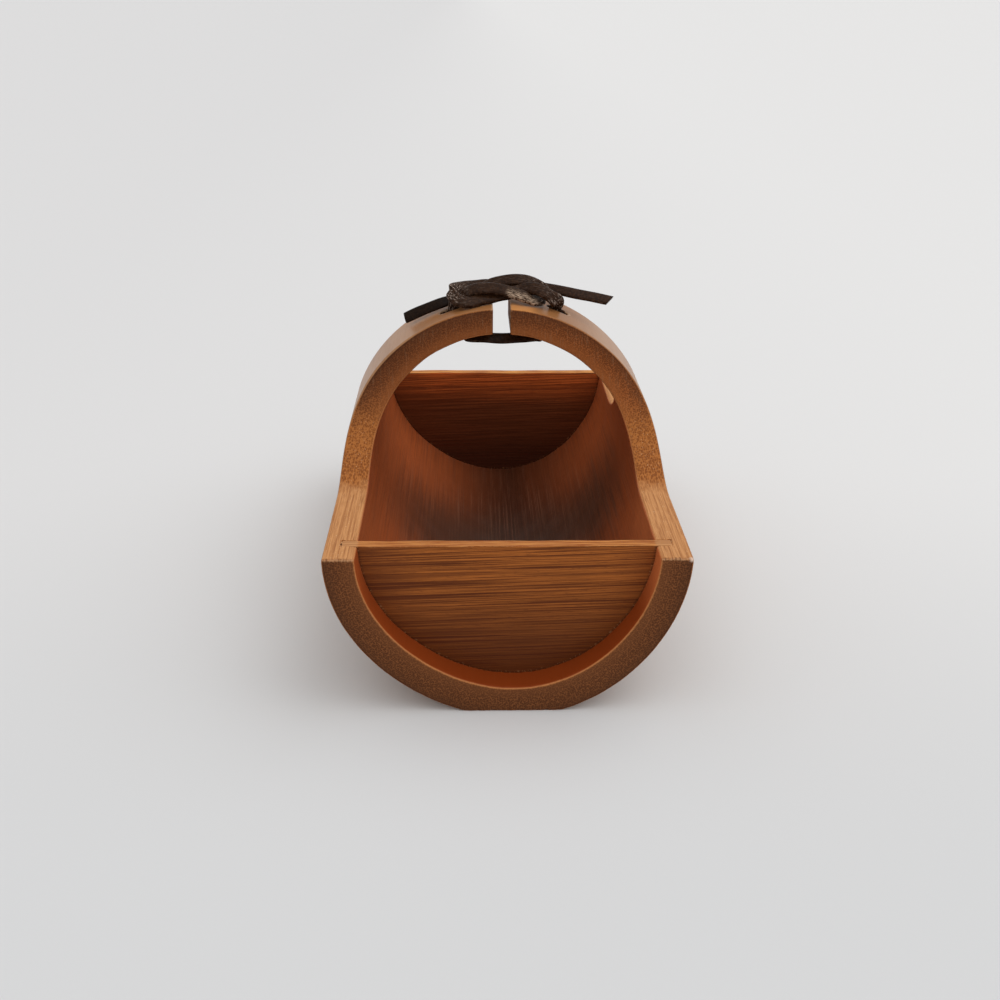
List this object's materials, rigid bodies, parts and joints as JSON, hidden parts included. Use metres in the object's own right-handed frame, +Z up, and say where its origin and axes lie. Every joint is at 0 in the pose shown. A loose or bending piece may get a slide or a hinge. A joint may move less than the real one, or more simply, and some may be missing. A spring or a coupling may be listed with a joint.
{
  "type": "serving boat",
  "caption": "Boat-shaped bamboo serving basket with a half-moon board closing each end and an arched handle tied with a leather lace.",
  "frame": {"origin": "under the middle of the part, on the flat that it rests on", "axes": "+Z up, +Y along the culm towards its rear end, +X to the right seen from the front end"},
  "size_m": [0.116, 0.2, 0.1206],
  "materials": {
    "bamboo": "satin, smooth brown skin with fine lengthwise grain",
    "board": "satin, grain across the board",
    "lace": "smooth dark leather, cracked at its folds"
  },
  "bodies": {
    "root": {"bamboo_culm": "bamboo", "front_board": "board", "rear_board": "board", "leather_lace": "lace"}
  },
  "joints": []
}
